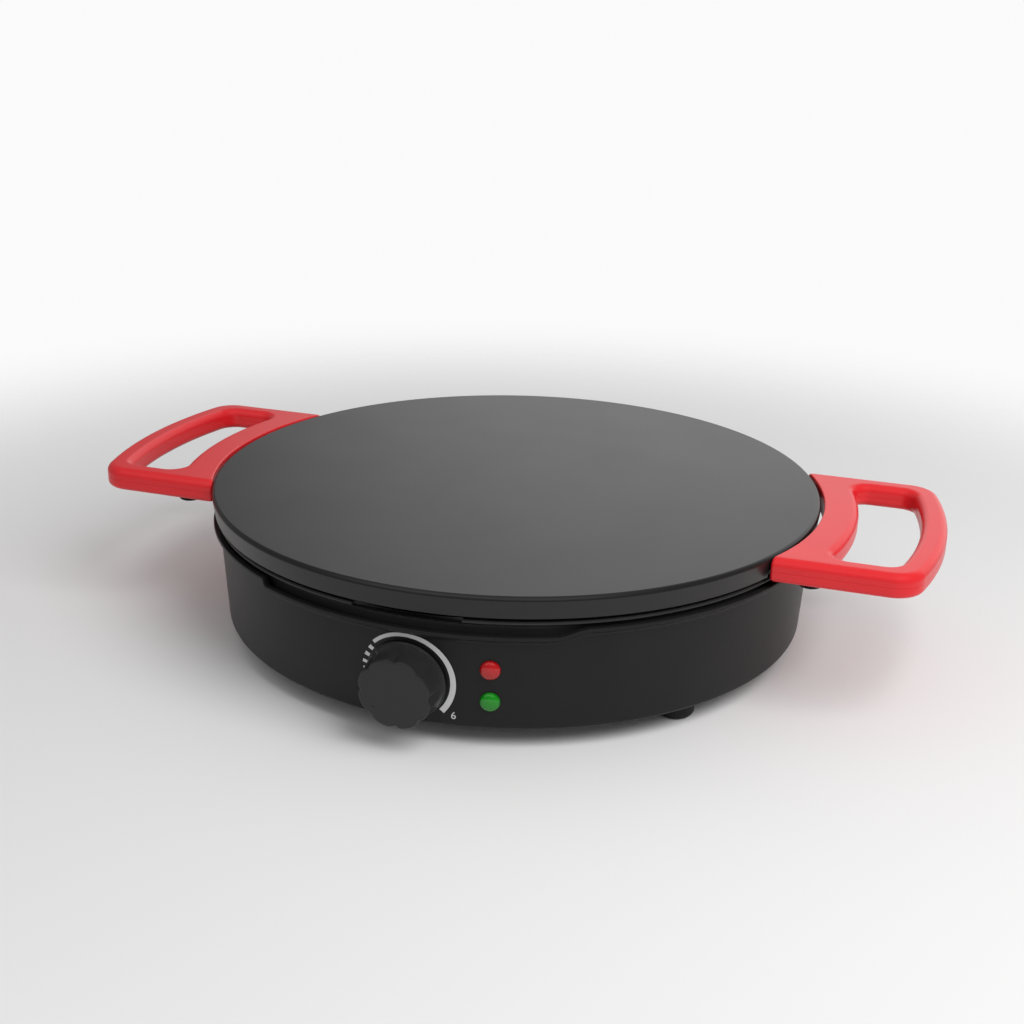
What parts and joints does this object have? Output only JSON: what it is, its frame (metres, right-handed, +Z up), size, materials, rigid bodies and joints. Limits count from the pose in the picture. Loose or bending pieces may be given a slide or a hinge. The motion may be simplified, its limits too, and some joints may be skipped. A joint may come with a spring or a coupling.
{
  "type": "electric crepe maker",
  "caption": "Round electric crepe maker: flat griddle plate with two loop handles, on a drum base with an indented temperature knob and pilot lamps.",
  "frame": {"origin": "on the plate's axis, at the level of the undersides of the feet", "axes": "+X along the handles to the user's right, -Y to the front where the knob is, +Z up"},
  "size_m": [0.4444, 0.3391, 0.0774],
  "materials": {
    "nonstick_plate": "satin, dark non-stick coating",
    "red_plastic": "gloss",
    "black_plastic": "semi-gloss",
    "black_steel": "satin",
    "steel": "plain",
    "black_screws": "satin",
    "pan_aluminium": "satin",
    "element_sheath": "matt, heat darkened",
    "ceramic": "matt",
    "copper": "plain",
    "brass_tabs": "plain",
    "rubber": "matt",
    "red_lens": "gloss",
    "green_lens": "gloss",
    "lamp_glass": "gloss",
    "moulding": "matt",
    "fuse_body": "plain"
  },
  "bodies": {
    "base": {"bottom_cover": "black_steel", "capillary_tube": "copper", "collar": "black_steel", "cord_gland": "rubber", "cover_screws": "black_screws", "element_bushes": "ceramic", "element_clips": "steel", "element_tabs": "brass_tabs", "foot_front_left": "rubber", "foot_front_right": "rubber", "foot_rear_left": "rubber", "foot_rear_right": "rubber", "foot_screws": "steel", "fuse_clip": "steel", "gland_nut": "black_plastic", "heat_shield": "pan_aluminium", "heating_element": "element_sheath", "housing": "black_plastic", "pan_screws": "steel", "pilot_lamp_green": "lamp_glass", "pilot_lamp_red": "lamp_glass", "pilot_lens_green": "green_lens", "pilot_lens_red": "red_lens", "plate_peg_1": "ceramic", "plate_peg_2": "ceramic", "plate_peg_3": "ceramic", "plate_peg_4": "ceramic", "probe_guide": "pan_aluminium", "reflector_pan": "pan_aluminium", "shield_posts": "steel", "shield_rivets": "steel", "terminal_block": "ceramic", "terminal_screws": "brass_tabs", "thermal_fuse": "fuse_body", "thermostat_body": "moulding", "thermostat_screws": "steel"},
    "plate": {"handle_bottom_left": "red_plastic", "handle_bottom_right": "red_plastic", "handle_bracket_left": "steel", "handle_bracket_right": "steel", "handle_screws": "black_screws", "handle_top_left": "red_plastic", "handle_top_right": "red_plastic", "griddle_plate": "nonstick_plate", "bracket_screws": "steel"},
    "knob": {"knob": "black_plastic", "thermostat_spindle": "steel", "knob_clip": "steel"},
    "probe": {"probe": "pan_aluminium", "probe_clip": "steel", "probe_spring": "steel"}
  },
  "joints": [
    {"name": "plate_lift", "type": "slide", "parent": "base", "child": "plate", "axis": [0, 0, 1], "range_m": [0, 0.07]},
    {"name": "knob_turn", "type": "hinge", "parent": "base", "child": "knob", "pos_m": [0, -0.15491, 0.0314], "axis": [0, 0.9984, 0.0558], "range_deg": [0, 255]},
    {"name": "probe_press", "type": "slide", "parent": "base", "child": "probe", "axis": [0, 0, 1], "range_m": [-0.0025, 0], "stiffness_N_per_m": 400, "springref_m": 0.004, "deforming": ["probe_spring"]}
  ]
}
